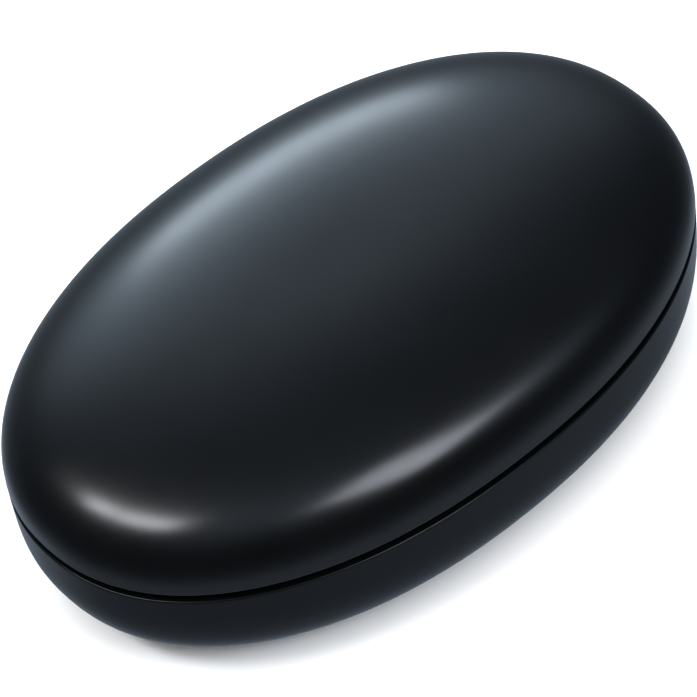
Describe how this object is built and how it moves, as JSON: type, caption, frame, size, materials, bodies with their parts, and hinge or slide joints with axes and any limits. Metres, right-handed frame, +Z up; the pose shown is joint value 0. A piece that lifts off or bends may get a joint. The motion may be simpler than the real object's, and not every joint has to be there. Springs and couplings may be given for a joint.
{
  "type": "wireless earbuds charging case",
  "caption": "Oval pebble-shaped charging case with a hinged lid over a cradle with earbud pockets, sprung charging pins, a battery and a rear charging port.",
  "frame": {"origin": "centre of the flat underside that the case rests on, at the bottom of the bounding box", "axes": "+X along the case's length, +Y towards the hinge and the charging port, +Z up through the lid"},
  "size_m": [0.07, 0.0446, 0.0218],
  "materials": {
    "shell_plastic": "fine satin texture",
    "tray_plastic": "satin",
    "soft_pad": "matt",
    "seal_foam": "matt",
    "hinge_steel": "fine brushed",
    "screw_steel": "plated",
    "magnet_nickel": "nickel plated",
    "bush_brass": "turned",
    "contact_gold": "gold plated",
    "spring_steel": "drawn wire",
    "flex_polyimide": "film",
    "board_laminate": "solder mask",
    "port_steel": "satin",
    "port_plastic": "moulded",
    "chip_epoxy": "moulded",
    "ferrite": "sintered",
    "ceramic_part": "fired",
    "led_body": "moulded",
    "clear_guide": "polished",
    "button_plastic": "satin",
    "cell_pouch": "laminated film",
    "lead_red": "extruded",
    "lead_black": "extruded",
    "connector_plastic": "moulded"
  },
  "bodies": {
    "base": {"hinge_pin": "hinge_steel", "hinge_spring": "spring_steel", "base_shell": "shell_plastic", "cradle_tray": "tray_plastic", "tray_seal": "seal_foam", "base_hinge_leaf": "hinge_steel", "base_hinge_screws": "screw_steel", "base_closing_magnet": "magnet_nickel", "bud_magnets_left": "magnet_nickel", "bud_magnets_right": "magnet_nickel", "pin_barrels_left": "contact_gold", "pin_barrels_right": "contact_gold", "pin_spring_left_inner": "spring_steel", "pin_spring_left_outer": "spring_steel", "pin_spring_right_inner": "spring_steel", "pin_spring_right_outer": "spring_steel", "pin_flex_left": "flex_polyimide", "pin_flex_right": "flex_polyimide", "main_pcb": "board_laminate", "pcb_screws": "screw_steel", "usb_shell": "port_steel", "usb_tongue": "port_plastic", "usb_contacts": "contact_gold", "charger_chip": "chip_epoxy", "controller_chip": "chip_epoxy", "power_inductor": "ferrite", "pcb_capacitors": "ceramic_part", "hall_sensor": "chip_epoxy", "status_led": "led_body", "light_guide": "clear_guide", "button_switch": "port_steel", "battery_cell": "cell_pouch", "battery_foam": "seal_foam", "battery_protection_board": "board_laminate", "battery_lead_positive": "lead_red", "battery_lead_negative": "lead_black", "battery_connector": "connector_plastic"},
    "lid": {"lid_shell": "shell_plastic", "lid_liner": "tray_plastic", "lid_bud_pads": "soft_pad", "lid_hinge_leaf": "hinge_steel", "lid_hinge_screws": "screw_steel", "lid_closing_magnet": "magnet_nickel", "lid_sensor_magnet": "magnet_nickel", "hinge_bush": "bush_brass"},
    "button": {"button_cap": "button_plastic", "switch_plunger": "connector_plastic"},
    "charge_pin_left_inner": {"charge_pin_left_inner": "contact_gold"},
    "charge_pin_left_outer": {"charge_pin_left_outer": "contact_gold"},
    "charge_pin_right_inner": {"charge_pin_right_inner": "contact_gold"},
    "charge_pin_right_outer": {"charge_pin_right_outer": "contact_gold"}
  },
  "joints": [
    {"name": "lid_hinge", "type": "hinge", "parent": "base", "child": "lid", "pos_m": [0, 0.0212, 0.01226], "axis": [-1, 0, 0], "range_deg": [0, 95]},
    {"name": "pairing_button_press", "type": "slide", "parent": "base", "child": "button", "axis": [0, 0, -1], "range_m": [0, 0.0004], "stiffness_N_per_m": 600},
    {"name": "charge_pin_left_inner_press", "type": "slide", "parent": "base", "child": "charge_pin_left_inner", "axis": [0, 0, -1], "range_m": [0, 0.0006], "stiffness_N_per_m": 300, "deforming": ["pin_spring_left_inner"]},
    {"name": "charge_pin_left_outer_press", "type": "slide", "parent": "base", "child": "charge_pin_left_outer", "axis": [0, 0, -1], "range_m": [0, 0.0006], "stiffness_N_per_m": 300, "deforming": ["pin_spring_left_outer"]},
    {"name": "charge_pin_right_inner_press", "type": "slide", "parent": "base", "child": "charge_pin_right_inner", "axis": [0, 0, -1], "range_m": [0, 0.0006], "stiffness_N_per_m": 300, "deforming": ["pin_spring_right_inner"]},
    {"name": "charge_pin_right_outer_press", "type": "slide", "parent": "base", "child": "charge_pin_right_outer", "axis": [0, 0, -1], "range_m": [0, 0.0006], "stiffness_N_per_m": 300, "deforming": ["pin_spring_right_outer"]}
  ]
}
